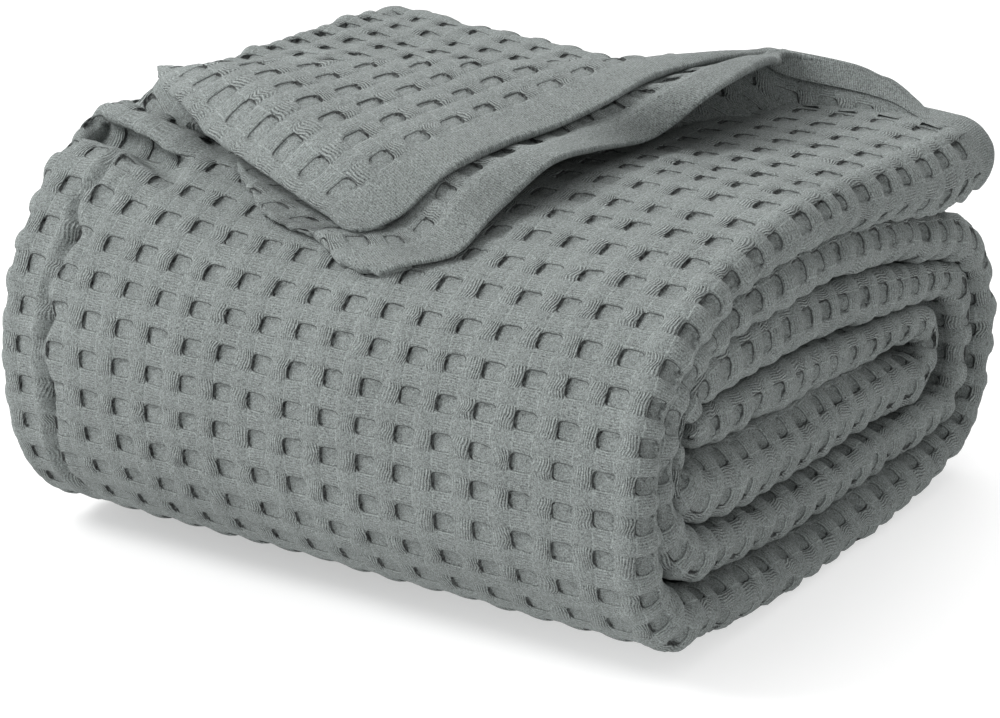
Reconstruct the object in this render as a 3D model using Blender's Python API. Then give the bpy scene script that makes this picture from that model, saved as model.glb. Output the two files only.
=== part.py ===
"""Waffle weave cotton blanket, folded lengthwise into a long strip and wound flat.

Units are metres, +Z up.  The origin is on the surface that the blanket lies on, under the middle
of its bounding box.  +X runs along the winding's axis towards the end with the clean fold noses,
-Y is the smooth front face, and the free end lies on top, towards +Y.

Everything is placed in waffle cells first, because the cells can be counted on the cloth, and is
turned into metres by CELL at the end.
"""

import math

import bmesh
import bpy
import numpy as np
from mathutils import Matrix

# ---- driving dimensions -----------------------------------------------------------------------

CELL = 0.0162            # one repeat of the waffle weave, in metres
STRIP_REACH = 9.2        # the strip's fold noses reach this far from the middle, in cells
PLY = 0.17               # one thickness of the waffle cloth, in cells: 2.8 mm
RUN_GAP = 0.09           # air between neighbouring turns, in cells: 1.5 mm
ROOM_STEP = 0.15         # step of the search for turns that lie too close, in cells
ROOM_REACH = 2.2         # turns are compared from this far along the strip, in cells
ROOM_SPREAD = 0.45       # the strip is thinned this far to either side, in cells
RISE = 0.9               # how much higher the loose -X end of the stack is, in cells
SHOULDER = 0.45          # how much more its front shoulder bulges there, in cells
END_SKEW = 0.80          # the free end reaches further back on the left by this, in cells
END_FLARE = 0.35         # the free end's right nose reaches further out by this, in cells

# The wound strip, from the inner end outwards.  Each run lies between two turns.
# name, y at front and back, z at front, one third, two thirds and back,
# thickness at front, middle and back
RUNS = (
    ("core", -6.70, 5.00, 5.22, 5.10, 4.90, 4.62, 0.95, 1.10, 1.00),
    ("core_back", -6.05, 5.00, 3.82, 3.54, 3.44, 3.13, 1.55, 1.85, 1.45),
    ("inner_top", -5.60, 6.90, 6.35, 6.36, 6.00, 5.32, 1.15, 1.42, 0.90),
    ("middle_bottom", -6.20, 6.60, 2.42, 1.95, 1.92, 1.98, 1.05, 1.22, 0.94),
    ("middle_top", -6.20, 6.70, 7.20, 7.68, 7.36, 6.50, 0.86, 1.15, 1.15),
    ("outer_bottom", -7.00, 7.00, 1.12, 0.58, 0.56, 0.96, 1.20, 1.25, 1.25),
    ("outer_top", -6.60, 7.20, 7.89, 8.81, 8.77, 8.66, 0.95, 1.25, 1.95),
)

# How far the fold noses of each run reach past STRIP_REACH
# left nose at the run's front and back, right nose at the run's front and back
NOSES = (
    (-0.50, -0.20, -0.20, -0.25),
    (-0.40, -0.10, 0.00, -0.10),
    (-0.50, -0.15, -0.10, -0.10),
    (-0.45, -0.05, 0.00, 0.00),
    (-0.50, 0.00, 0.05, 0.05),
    (-0.55, -0.10, 0.10, 0.20),
    (-0.55, 0.65, 0.10, 0.25),
)

# The turns between them: y and z of the outermost point of the middle line, thickness there
TURNS = (
    ("core_fold", 6.05, 3.95, 0.85),
    ("inner_front", -7.27, 4.90, 0.46),
    ("inner_rear", 7.80, 3.75, 0.80),
    ("middle_front", -8.00, 4.55, 0.84),
    ("outer_rear", 8.86, 3.60, 0.94),
    ("outer_front", -8.90, 4.35, 0.82),
)

# The free end's left corner is turned back over the top.  A row is a section across the fold.
# It goes from the foot, where the cloth leaves the stack, round the rear nose to the ridge, and
# down over the upper flap's hem to the lower flap's hem.
# foot x, y; ridge x, y, z; reach of the nose; forward bow and upward swell of the upper flap;
# upper hem x, y, z; lower hem x, y, z; share of the upper flap in the thickness
FLAP = (
    (-8.90, -4.30, -8.55, -3.20, 10.60, 0.55, 0.90, 0.60, 0.65, -6.80, 8.55, 2.05, -7.45, 7.85, 1.0),
    (-6.20, -4.30, -6.15, -3.75, 11.05, 0.60, 0.50, 0.50, 1.35, -6.40, 9.00, 3.05, -6.75, 8.45, 1.0),
    (-4.30, -3.20, -4.45, -2.75, 11.10, 0.65, 0.20, 0.20, 1.95, -5.40, 9.85, 3.25, -5.30, 9.20, 1.0),
    (-2.20, -2.20, -2.45, -1.70, 11.15, 0.70, 0.00, 0.10, 2.35, -3.90, 10.20, 3.75, -4.00, 10.0, 1.0),
    (-0.40, -1.30, -0.65, -0.80, 11.25, 0.70, 0.00, 0.10, 2.75, -2.30, 10.35, 3.95, -2.30, 10.0, 1.0),
    (1.20, -0.40, 0.85, 0.20, 11.20, 0.70, 0.00, 0.10, 3.35, -0.90, 10.75, 4.25, -0.30, 9.90, 1.0),
    (2.70, 1.00, 2.35, 1.30, 11.25, 0.65, 0.00, 0.05, 3.65, 0.50, 11.10, 5.25, 0.70, 10.90, 1.0),
    (3.70, 2.70, 3.45, 2.75, 11.20, 0.55, 0.00, 0.05, 4.05, 2.15, 11.20, 5.20, 2.95, 11.15, 0.8),
    (4.40, 4.50, 4.05, 4.45, 11.05, 0.40, 0.00, 0.00, 4.20, 4.25, 11.05, 4.95, 4.65, 11.00, 0.4),
    (5.00, 5.85, 4.55, 6.20, 10.65, 0.15, 0.00, 0.00, 4.60, 6.12, 10.68, 4.72, 6.10, 10.66, 0.0),
    (6.55, 6.25, 6.08, 6.92, 10.32, 0.10, 0.00, 0.00, 6.12, 6.87, 10.34, 6.20, 6.80, 10.34, 0.0),
    (7.60, 6.30, 7.06, 7.16, 9.94, 0.08, 0.00, 0.00, 7.10, 7.11, 9.96, 7.18, 7.03, 9.95, 0.0),
    (8.40, 6.35, 8.00, 7.05, 9.82, 0.06, 0.00, 0.00, 8.04, 7.00, 9.83, 8.12, 6.93, 9.82, 0.0),
    (8.95, 6.55, 8.80, 7.05, 9.76, 0.05, 0.00, 0.00, 8.84, 7.01, 9.77, 8.92, 6.95, 9.76, 0.0),
)
FLAP_GAP = 0.05          # air under the flap where it lies on the stack, in cells
FLAP_ROOT = 0.40         # how deep the flap's foot sits in the stack, in cells
FLAP_BETWEEN = 3         # loft stations from one row to the next

TURN_ROUNDNESS = 0.56    # handle length of a turn's Bezier quarters, as a share of their reach
RUN_STATIONS = 12        # loft stations along a run
QUARTER_STATIONS = 6     # loft stations along each quarter of a turn
NOSE_SIDES = 8           # faces round a fold nose
FLAT_SPANS = 7           # faces across the flat of the strip

CLOTH_COLOR = (0.235, 0.262, 0.255, 1.0)
CLOTH_ROUGHNESS = 0.95


# ---- small helpers ----------------------------------------------------------------------------

def clear_scene():
    """Start from an empty file."""
    for obj in list(bpy.data.objects):
        bpy.data.objects.remove(obj, do_unlink=True)


def smooth_step(value):
    """Ease from 0 to 1 as the value goes from 0 to 1."""
    t = np.clip(value, 0.0, 1.0)
    return t * t * (3.0 - 2.0 * t)


def bezier(points, count):
    """Points along a cubic Bezier, without its first one."""
    t = np.linspace(0.0, 1.0, count + 1)[1:, None]
    a, b, c, d = (np.array(p, float) for p in points)
    return (1 - t) ** 3 * a + 3 * (1 - t) ** 2 * t * b + 3 * (1 - t) * t ** 2 * c + t ** 3 * d


def new_object(name, verts, faces, collection):
    """A mesh object made from lists of points and faces."""
    mesh = bpy.data.meshes.new(name)
    mesh.from_pydata([tuple(v) for v in verts], [], [tuple(f) for f in faces])
    mesh.validate()
    obj = bpy.data.objects.new(name, mesh)
    collection.objects.link(obj)
    return obj


# ---- the wound strip --------------------------------------------------------------------------

def through(run, values):
    """A polynomial in y through evenly spaced values along the run."""
    return np.polyfit(np.linspace(run[1], run[2], len(values)), values, len(values) - 1)


def run_point(run, side):
    """The place and the slope of a run's front or back end."""
    curve = through(run, run[3:7])
    y = run[1] if side == "front" else run[2]
    return np.array([y, np.polyval(curve, y)]), np.polyval(np.polyder(curve), y)


def turn_points(run_in, turn, run_out):
    """A turn as two Bezier quarters that meet at its outermost point."""
    side = "back" if turn[1] > 0 else "front"
    tip = np.array(turn[1:3])
    halves = []
    for run in (run_in, run_out):
        end, slope = run_point(run, side)
        reach = TURN_ROUNDNESS * (tip[0] - end[0])
        near = end + np.array([reach, slope * reach])
        far = tip - np.array([0.0, TURN_ROUNDNESS * (tip[1] - end[1])])
        halves.append((end, near, far, tip))
    first = bezier(halves[0], QUARTER_STATIONS)
    second = bezier(halves[1][::-1], QUARTER_STATIONS)
    return np.vstack([first, second])


def centre_line():
    """The strip's middle line in the YZ plane, with thickness and nose reaches at each point."""
    line, thick, left, right = [], [], [], []
    for i, (run, nose) in enumerate(zip(RUNS, NOSES)):
        share = np.linspace(0.0, 1.0, RUN_STATIONS)
        if i % 2:
            share = share[::-1]
        share = share[min(i, 1):]
        ys = run[1] + (run[2] - run[1]) * share
        line.extend(zip(ys, np.polyval(through(run, run[3:7]), ys)))
        thick.extend(np.polyval(through(run, run[7:10]), ys))
        left.extend(nose[0] + (nose[1] - nose[0]) * smooth_step(share))
        right.extend(nose[2] + (nose[3] - nose[2]) * smooth_step(share))
        if i < len(TURNS):
            turn, after = TURNS[i], RUNS[i + 1]
            line.extend(turn_points(run, turn, after))
            blend = smooth_step(np.linspace(0.0, 1.0, QUARTER_STATIONS + 1)[1:])
            end = int(turn[1] > 0)
            thick.extend(run[7 + 2 * end] + (turn[3] - run[7 + 2 * end]) * blend)
            thick.extend(turn[3] + (after[7 + 2 * end] - turn[3]) * blend)
            both = smooth_step(np.linspace(0.0, 1.0, 2 * QUARTER_STATIONS + 1)[1:])
            left.extend(nose[end] + (NOSES[i + 1][end] - nose[end]) * both)
            right.extend(nose[2 + end] + (NOSES[i + 1][2 + end] - nose[2 + end]) * both)
    line = np.array(line)
    return line, make_room(line, np.array(thick)), np.array(left), np.array(right)


def make_room(line, thick):
    """Thin the strip where its turns would come nearer to each other than RUN_GAP."""
    arc = np.concatenate([[0.0], np.cumsum(np.linalg.norm(np.diff(line, axis=0), axis=1))])
    fine = np.arange(0.0, arc[-1], ROOM_STEP)
    place = np.stack([np.interp(fine, arc, line[:, k]) for k in (0, 1)], axis=1)
    width = np.interp(fine, arc, thick)
    apart = np.linalg.norm(place[:, None] - place[None], axis=2)
    wanted = 0.5 * (width[:, None] + width[None])
    share = np.where(np.abs(fine[:, None] - fine[None]) > ROOM_REACH, (apart - RUN_GAP) / wanted, 1.0)
    share = np.minimum(share.min(axis=1), 1.0)
    spread = int(ROOM_SPREAD / ROOM_STEP)
    share = np.array([share[max(i - spread, 0):i + spread + 1].min() for i in range(len(share))])
    return thick * np.interp(arc, fine, share)


def outward_normals(line):
    """Unit normals of the middle line that point away from the winding's core."""
    tangent = np.gradient(line, axis=0)
    tangent /= np.linalg.norm(tangent, axis=1)[:, None]
    return np.stack([-tangent[:, 1], tangent[:, 0]], axis=1)


def strip_profile():
    """The strip cut across: (side from -1 to 1, nose amount, height from -1 to 1)."""
    flat = np.linspace(-1.0, 1.0, FLAT_SPANS + 1)
    turn = np.linspace(0.5 * math.pi, -0.5 * math.pi, NOSE_SIDES + 1)[1:-1]
    right = [(1.0, math.cos(a), math.sin(a)) for a in turn]
    left = [(-1.0, math.cos(a), math.sin(a)) for a in turn[::-1]]
    top = [(x, 0.0, 1.0) for x in flat]
    bottom = [(x, 0.0, -1.0) for x in flat[::-1]]
    return np.array(top + right + bottom + left)


def lift(x, y, z):
    """The stack stands higher towards its loose -X end, and most at the front shoulder there."""
    across = np.clip((-x - 0.5) / 9.5, 0.0, 1.2) ** 1.3
    shoulder = smooth_step((-x - 4.5) / 3.0) * np.exp(-((y + 5.6) / 1.9) ** 2)
    return (RISE * across + SHOULDER * shoulder) * smooth_step((z - 3.5) / 6.0)


def strip_object(collection):
    """The whole wound strip as one closed loft."""
    line, thick, left, right = centre_line()
    outward = outward_normals(line)
    profile = strip_profile()
    count = len(line)
    ending = smooth_step((np.arange(count) - (count - RUN_STATIONS)) / RUN_STATIONS)
    rings = []
    for i in range(count):
        half = 0.5 * thick[i]
        side = profile[:, 0]
        limit = STRIP_REACH + np.where(side > 0.0, right[i], left[i]) - half
        x = side * limit + np.sign(side) * profile[:, 1] * half
        x = x + END_FLARE * ending[i] * smooth_step((x - 6.0) / 3.0)
        y = line[i, 0] + outward[i, 0] * profile[:, 2] * half
        z = line[i, 1] + outward[i, 1] * profile[:, 2] * half
        y = y + END_SKEW * ending[i] * smooth_step((1.0 - x) / 4.0)
        z = z + lift(x, y, z)
        rings.append(np.stack([x, y, np.maximum(z, 0.0)], axis=1))
    size = len(profile)
    faces = []
    for i in range(count - 1):
        for k in range(size):
            n = (k + 1) % size
            faces.append((i * size + k, i * size + n, (i + 1) * size + n, (i + 1) * size + k))
    obj = new_object("strip", np.vstack(rings) * CELL, faces, collection)
    close_ends(obj)
    return obj


def close_ends(obj):
    """Fill the two open ends, split faces that aren't flat, and turn all faces outwards."""
    mesh = bmesh.new()
    mesh.from_mesh(obj.data)
    bmesh.ops.holes_fill(mesh, edges=[e for e in mesh.edges if e.is_boundary], sides=0)
    bmesh.ops.triangulate(mesh, faces=mesh.faces[:])
    bmesh.ops.recalc_face_normals(mesh, faces=mesh.faces[:])
    if mesh.calc_volume(signed=True) < 0.0:
        bmesh.ops.reverse_faces(mesh, faces=mesh.faces[:])
    mesh.to_mesh(obj.data)
    mesh.free()


# ---- the turned-back corner -------------------------------------------------------------------

def stack_top(x, y):
    """Height of the wound strip's top under a point."""
    line, thick, _, _ = centre_line()
    first = len(line) - RUN_STATIONS - QUARTER_STATIONS
    outer = (line + outward_normals(line) * 0.5 * thick[:, None])[first:]
    z = np.interp(y, outer[:, 0], outer[:, 1])
    return z + lift(x, y, z)


def quadratic(a, b, c, count):
    """Points from a to c by way of b, without the first one."""
    t = np.linspace(0.0, 1.0, count + 1)[1:, None]
    control = 2.0 * b - 0.5 * (a + c)
    return (1 - t) ** 2 * a + 2 * (1 - t) * t * control + t ** 2 * c


def flap_section(row, behind):
    """One section's underside and its share of the thickness, from the foot to the lower hem."""
    foot = np.array([row[0], row[1], stack_top(row[0], row[1]) - FLAP_ROOT])
    ridge, upper, lower = np.array(row[2:5]), np.array(row[8:11]), np.array(row[11:14])
    ridge[2] -= (1.0 + row[14]) * PLY
    upper[2] -= (1.0 + row[14]) * PLY
    lower[2] -= PLY
    low = foot + 2.0 * row[5] * behind + (0.0, 0.0, FLAP_ROOT)
    high = ridge + 1.3 * row[5] * behind
    edge = upper + (lower - upper) * 0.08
    middle = 0.5 * (ridge + upper) - row[6] * behind + (0.0, 0.0, row[7])
    flat = [quadratic(ridge, middle, upper, 6), edge[None],
            quadratic(edge, 0.5 * (edge + lower), lower, 4)]
    points = np.vstack([foot[None], bezier((foot, low, high, ridge), 7)] + flat)
    rest = stack_top(points[:, 0], points[:, 1]) + FLAP_GAP
    on_top = np.arange(len(points)) > 7
    points[:, 2] = np.where(on_top, np.maximum(points[:, 2], rest), points[:, 2])
    share = np.where(np.arange(len(points)) < 14, 1.0 + row[14], 1.0)
    return points, share


def smooth_rows(rows, between):
    """More rows along a table, smoothly between the given ones (Catmull-Rom)."""
    table = np.array(rows)
    padded = np.vstack([2 * table[0] - table[1], table, 2 * table[-1] - table[-2]])
    out = []
    for i in range(1, len(padded) - 2):
        a, b, c, d = padded[i - 1:i + 3]
        for t in np.arange(between) / between:
            out.append(0.5 * (2 * b + (c - a) * t + (2 * a - 5 * b + 4 * c - d) * t ** 2
                              + (3 * b - a - 3 * c + d) * t ** 3))
    out.append(table[-1])
    return np.array(out)


def flap_object(collection):
    """The turned-back corner as one closed loft."""
    rows = smooth_rows(FLAP, FLAP_BETWEEN)
    along = np.gradient(rows[:, 2:4], axis=0)
    along /= np.linalg.norm(along, axis=1)[:, None]
    behind = np.stack([-along[:, 1], along[:, 0], np.zeros(len(rows))], axis=1)
    sections = [flap_section(row, aside) for row, aside in zip(rows, behind)]
    under = np.array([points for points, _ in sections])
    share = np.array([part for _, part in sections])
    normal = np.cross(np.gradient(under, axis=0), np.gradient(under, axis=1))
    normal /= np.linalg.norm(normal, axis=2)[:, :, None]
    if normal[:, 10, 2].mean() < 0.0:
        normal = -normal
    over = under + normal * (share * PLY)[:, :, None]
    count, size = under.shape[:2]
    rings = np.concatenate([under, over[:, ::-1]], axis=1)
    faces = []
    for i in range(count - 1):
        for k in range(2 * size):
            n = (k + 1) % (2 * size)
            faces.append((i * 2 * size + k, i * 2 * size + n,
                          (i + 1) * 2 * size + n, (i + 1) * 2 * size + k))
    obj = new_object("flap", rings.reshape(-1, 3) * CELL, faces, collection)
    close_ends(obj)
    return obj


# ---- joining and finishing --------------------------------------------------------------------

def as_mesh(obj, name, collection):
    """A plain mesh copy of an object with its modifiers applied."""
    depsgraph = bpy.context.evaluated_depsgraph_get()
    mesh = bpy.data.meshes.new_from_object(obj.evaluated_get(depsgraph))
    mesh.name = name
    copy = bpy.data.objects.new(name, mesh)
    collection.objects.link(copy)
    copy.matrix_world = obj.matrix_world
    bpy.data.objects.remove(obj, do_unlink=True)
    return copy


def unite(base, others, name, collection):
    """One closed body from the strip and its flaps."""
    for other in others:
        union = base.modifiers.new("join_" + other.name, "BOOLEAN")
        union.operation = "UNION"
        union.solver = "EXACT"
        union.object = other
    bpy.context.view_layer.update()
    joined = as_mesh(base, name, collection)
    for other in others:
        bpy.data.objects.remove(other, do_unlink=True)
    return joined


def centre_on_origin(obj):
    """Put the middle of the bounding box's underside on the origin."""
    corners = np.array([vert.co for vert in obj.data.vertices])
    low, high = corners.min(axis=0), corners.max(axis=0)
    shift = (-0.5 * (low[0] + high[0]), -0.5 * (low[1] + high[1]), -low[2])
    obj.data.transform(Matrix.Translation(shift))


def cloth_material():
    """Plain grey green cotton."""
    material = bpy.data.materials.new("waffle_cotton")
    material.use_nodes = True
    shader = material.node_tree.nodes["Principled BSDF"]
    shader.inputs["Base Color"].default_value = CLOTH_COLOR
    shader.inputs["Roughness"].default_value = CLOTH_ROUGHNESS
    shader.inputs["Metallic"].default_value = 0.0
    return material


def build():
    """Make the blanket."""
    clear_scene()
    collection = bpy.data.collections.new("waffle_blanket")
    bpy.context.scene.collection.children.link(collection)
    strip = strip_object(collection)
    flap = flap_object(collection)
    bpy.context.view_layer.update()
    blanket = unite(strip, [flap], "blanket", collection)
    centre_on_origin(blanket)
    blanket.data.materials.clear()
    blanket.data.materials.append(cloth_material())
    blanket.data.shade_smooth()
    blanket.data.set_sharp_from_angle(angle=math.radians(50.0))


build()
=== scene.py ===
"""The looks of a waffle weave cotton blanket that is folded into a strip and wound flat.

Lengths are counted in waffle cells and turned into metres by CELL, as on the solid. A place in the
strip is its row v, counted along the strip from the middle of the front, and its column u, which is
0 next to the right fold noses and negative to the left.
"""

import math

import bpy
import numpy as np
from mathutils import Matrix, Vector


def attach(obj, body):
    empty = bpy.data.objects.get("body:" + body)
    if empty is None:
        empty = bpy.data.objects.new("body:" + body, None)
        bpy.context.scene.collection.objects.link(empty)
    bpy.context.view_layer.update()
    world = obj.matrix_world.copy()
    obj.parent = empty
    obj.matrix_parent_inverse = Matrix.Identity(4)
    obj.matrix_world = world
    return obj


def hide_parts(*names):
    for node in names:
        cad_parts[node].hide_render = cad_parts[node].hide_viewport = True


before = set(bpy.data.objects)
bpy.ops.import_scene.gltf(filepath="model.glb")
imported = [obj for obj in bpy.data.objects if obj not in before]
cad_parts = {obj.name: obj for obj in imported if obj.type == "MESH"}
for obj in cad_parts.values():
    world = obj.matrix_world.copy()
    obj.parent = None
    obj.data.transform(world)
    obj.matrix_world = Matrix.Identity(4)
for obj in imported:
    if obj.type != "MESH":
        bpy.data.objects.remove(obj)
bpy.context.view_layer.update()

# ---- sizes that the solid has as well ----

CELL = 0.0162  # one repeat of the waffle weave, in metres
SHIFT = (0.03, -0.02, 0.0)  # from the winding's middle to the solid's
STRIP_REACH = 9.2  # the strip's fold noses reach this far from the middle
PLY = 0.17  # one thickness of the waffle cloth
RUN_GAP = 0.09  # air between neighbouring turns
ROOM_STEP = 0.15  # step of the search for turns that lie too close
ROOM_REACH = 2.2  # turns this far apart along the strip are compared
ROOM_SPREAD = 0.45  # and thinned this far to either side
RISE = 0.9  # how much higher the loose left end of the stack is
RISE_FROM = -0.5  # it rises from this x on, over this length
RISE_LENGTH = 9.5
RISE_MOST = 1.2
RISE_POWER = 1.3
RISE_Z = (3.5, 9.5)  # and between these two heights
SHOULDER = 0.45  # how much more its front shoulder bulges there
SHOULDER_X = (-4.5, -7.5)
SHOULDER_Y = (-5.6, 1.9)
END_SKEW = 0.80  # the free end reaches further back on the left
END_SKEW_X = (1.0, -3.0)  # between these two x
END_FLARE = 0.35  # and further out at its right nose
END_FLARE_X = (6.0, 9.0)
TURN_ROUNDNESS = 0.56  # handles of a turn's Bezier quarters, as shares
FLAP_GAP = 0.05  # air under the corner where it lies on the stack
FLAP_ROOT = 0.40  # how deep the corner's foot sits in the stack

# The wound strip, from the inner end outwards: each run lies between two turns.
# name, y at front and back, z at front, one third, two thirds and back,
# thickness at front, middle and back
RUNS = (
    ("core", -6.70, 5.00, 5.22, 5.10, 4.90, 4.62, 0.95, 1.10, 1.00),
    ("core_back", -6.05, 5.00, 3.82, 3.54, 3.44, 3.13, 1.55, 1.85, 1.45),
    ("inner_top", -5.60, 6.90, 6.35, 6.36, 6.00, 5.32, 1.15, 1.42, 0.90),
    ("middle_bottom", -6.20, 6.60, 2.42, 1.95, 1.92, 1.98, 1.05, 1.22, 0.94),
    ("middle_top", -6.20, 6.70, 7.20, 7.68, 7.36, 6.50, 0.86, 1.15, 1.15),
    ("outer_bottom", -7.00, 7.00, 1.12, 0.58, 0.56, 0.96, 1.20, 1.25, 1.25),
    ("outer_top", -6.60, 7.20, 7.89, 8.81, 8.77, 8.66, 0.95, 1.25, 1.95),
)
# How far the fold noses of each run reach past STRIP_REACH:
# left nose at the run's front and back, right nose at the run's front and back
NOSES = (
    (-0.50, -0.20, -0.20, -0.25),
    (-0.40, -0.10, 0.00, -0.10),
    (-0.50, -0.15, -0.10, -0.10),
    (-0.45, -0.05, 0.00, 0.00),
    (-0.50, 0.00, 0.05, 0.05),
    (-0.55, -0.10, 0.10, 0.20),
    (-0.55, 0.65, 0.10, 0.25),
)
# The turns between the runs: y and z of the outermost point of the middle line, thickness there
TURNS = (
    ("core_fold", 6.05, 3.95, 0.85),
    ("inner_front", -7.27, 4.90, 0.46),
    ("inner_rear", 7.80, 3.75, 0.80),
    ("middle_front", -8.00, 4.55, 0.84),
    ("outer_rear", 8.86, 3.60, 0.94),
    ("outer_front", -8.90, 4.35, 0.82),
)
# The free end's left corner is turned back over the top. A row is a section across its fold, from
# the foot round the rear nose to the ridge and down over the upper ply's hem to the lower ply's hem:
# foot x, y; ridge x, y, z; reach of the nose; forward bow and upward swell of the upper ply;
# upper hem x, y, z; lower hem x, y, z; 1 where it is turned back and 0 where it stands like a wall
FLAP = (
    (-8.90, -4.30, -8.55, -3.20, 10.60, 0.55, 0.90, 0.60, 0.65, -6.80, 8.55, 2.05, -7.45, 7.85, 1.0),
    (-6.20, -4.30, -6.15, -3.75, 11.05, 0.60, 0.50, 0.50, 1.35, -6.40, 9.00, 3.05, -6.75, 8.45, 1.0),
    (-4.30, -3.20, -4.45, -2.75, 11.10, 0.65, 0.20, 0.20, 1.95, -5.40, 9.85, 3.25, -5.30, 9.20, 1.0),
    (-2.20, -2.20, -2.45, -1.70, 11.15, 0.70, 0.00, 0.10, 2.35, -3.90, 10.20, 3.75, -4.00, 10.0, 1.0),
    (-0.40, -1.30, -0.65, -0.80, 11.25, 0.70, 0.00, 0.10, 2.75, -2.30, 10.35, 3.95, -2.30, 10.0, 1.0),
    (1.20, -0.40, 0.85, 0.20, 11.20, 0.70, 0.00, 0.10, 3.35, -0.90, 10.75, 4.25, -0.30, 9.90, 1.0),
    (2.70, 1.00, 2.35, 1.30, 11.25, 0.65, 0.00, 0.05, 3.65, 0.50, 11.10, 5.25, 0.70, 10.90, 1.0),
    (3.70, 2.70, 3.45, 2.75, 11.20, 0.55, 0.00, 0.05, 4.05, 2.15, 11.20, 5.20, 2.95, 11.15, 0.8),
    (4.40, 4.50, 4.05, 4.45, 11.05, 0.40, 0.00, 0.00, 4.20, 4.25, 11.05, 4.95, 4.65, 11.00, 0.4),
    (5.00, 5.85, 4.55, 6.20, 10.65, 0.15, 0.00, 0.00, 4.60, 6.12, 10.68, 4.72, 6.10, 10.66, 0.0),
    (6.55, 6.25, 6.08, 6.92, 10.32, 0.10, 0.00, 0.00, 6.12, 6.87, 10.34, 6.20, 6.80, 10.34, 0.0),
    (7.60, 6.30, 7.06, 7.16, 9.94, 0.08, 0.00, 0.00, 7.10, 7.11, 9.96, 7.18, 7.03, 9.95, 0.0),
    (8.40, 6.35, 8.00, 7.05, 9.82, 0.06, 0.00, 0.00, 8.04, 7.00, 9.83, 8.12, 6.93, 9.82, 0.0),
    (8.95, 6.55, 8.80, 7.05, 9.76, 0.05, 0.00, 0.00, 8.84, 7.01, 9.77, 8.92, 6.95, 9.76, 0.0),
)

# ---- sizes that only the sheets have ----

COARSE = (12, 6)  # stations per run and quarter turn for the thickness
FINE = (70, 40)  # and for the shape
SEEN_LENGTH = 32.0  # the rows in ROWS_SEEN lie on this much of the strip
ROW_STATIONS = 4000  # stations for the places of all rows
ROW_SMOOTHING = 31  # and how many of them are averaged, an odd number
START_TAPER = 0.7  # the hidden first end closes over this length
THINNEST = 0.02  # down to this share of its thickness
SHOULDER_REACH = 0.25  # the front shoulder stands out a little around this row
SHOULDER_ROW = 6.2
SHOULDER_ROWS = 2.0
END_DROP = 0.15  # the free end's right nose hangs down a little
END_DROP_X = (7.4, 9.4)
DROOP_X = (5.2, 3.7)  # the free end's left part bends down over the back
DROOP_LEFT_X = (-9.0, -8.5)
DROOP_RADIUS = 0.5
DROOP_LENGTH = 1.5
HEM_THICKNESS = 0.09  # of the doubled cloth
HEM_UNDER = (0.06, 0.15)  # the cloth under the band ends this far from its edges
HEM_UNDER_ROWS = 6
HEM_EDGE_ROWS = 7
STRIP_WAVE = 0.045  # slow waves of the strip, and of the corner's plies
FLAP_WAVE = 0.06
NOSE_X = (8.3, 9.0)  # the fold noses begin here
NOSE_CRUMPLE = 0.055  # they are crumpled by this
NOSE_RIBS = 0.038  # swell by this between the rows of pockets
NOSE_RELIEF = 0.75  # and show the weave's relief more by this share
INNER_PLIES = (0.66, 0.30)  # plies inside the strip, as a share of its thickness

# Loose cloth over the left front shoulder: a rim, a hollow in front of it and a pressed-down place
# behind it. A swell is its size, its place behind the rim and its width. A window is where
# something starts, is full, fades and is gone.
RIM_ROW = 6.55
RIM_NOISE = 0.10
RIM_STEPS = ((0.30, -15.4, -14.3), (0.60, -14.4, -13.0))  # it comes forwards between two columns
RIM_WINDOW = (-17.25, -16.65, -14.7, -13.2)
RIM_SWELL = (0.06, 0.15, 0.30)
HOLLOW = (0.68, -0.66, 0.38)
RIM_HANG = (0.42, 0.02, 0.22)  # how far the cloth hangs forwards
HOLLOW_HANG = (0.22, -0.42, 0.20)
SLOT_DIP = (0.42, 1.05, 0.48)
SLOT_WINDOW = (-17.4, -16.8, -14.2, -12.8)
LOOSE_SWELL = 0.09  # the cloth around is uneven by this
LOOSE_U = (-12.6, -14.6)
LOOSE_V = (1.5, 4.5)

# The crease down the left of the front, with cloth that stands up on both sides
CREASE_COLUMN = -15.42
CREASE_SWAY = 0.20
CREASE = (0.17, 0.0, 0.13)
CREASE_LEFT = (0.05, -0.32, 0.17)
CREASE_RIGHT = (0.045, 0.27, 0.14)
CREASE_LUMPS = (0.04, 0.0, 0.50)
CREASE_DEEP = 0.9  # its depth changes along it
CREASE_UNEVEN = 0.75
CREASE_WINDOW = (-5.0, -3.5, 4.8, 5.8)

# The turned-back corner: u is counted from its left fold and v from its hem
FLAP_BETWEEN = 8  # sections from one row of the table to the next
NOSE_STATIONS = 40  # stations round the nose, over the ply and to the lower hem
PLY_STATIONS = 60
TAIL_STATIONS = 40
TURNED = 0.4  # from this value on in the table it is turned back in full
TURNED_LOWER = 0.6  # and the lower ply from this one
WALL_RISE = 0.20  # the wall is a little higher than on the solid
WALL_SINK = 0.70  # and its right end sinks into the strip's hem
WALL_SINK_X = (6.8, 8.8)
WALL_PLIES = 0.18  # its two plies stand this far apart
WALL_HEM = 0.2  # its hem reaches down by this share
PLIES_APART = 1.25  # distance of its plies, in thicknesses
FOLD_THICK_UPPER = 0.22  # thickness of the left fold, for each ply
FOLD_THICK_LOWER = 0.24
FOLD_RETURN = 0.7  # the cloth runs back under the corner from there
NOSE_HANDLES = (2.0, 1.3)  # the rear nose's handles at its foot and ridge
RIDGE_WIDTH = 0.6  # it lifts off the strip past its ridge, over this length
TAIL_FADE = 0.6  # the lower ply comes up to its hem over this share
TOP_LENGTH = 4.0  # the stack's top is the last run and this much before it
EDGE_BEYOND = 2.4  # the grid starts this far past the table's first row
EDGE_SMOOTHING = 7  # grid lines averaged along the left fold, an odd number
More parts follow.
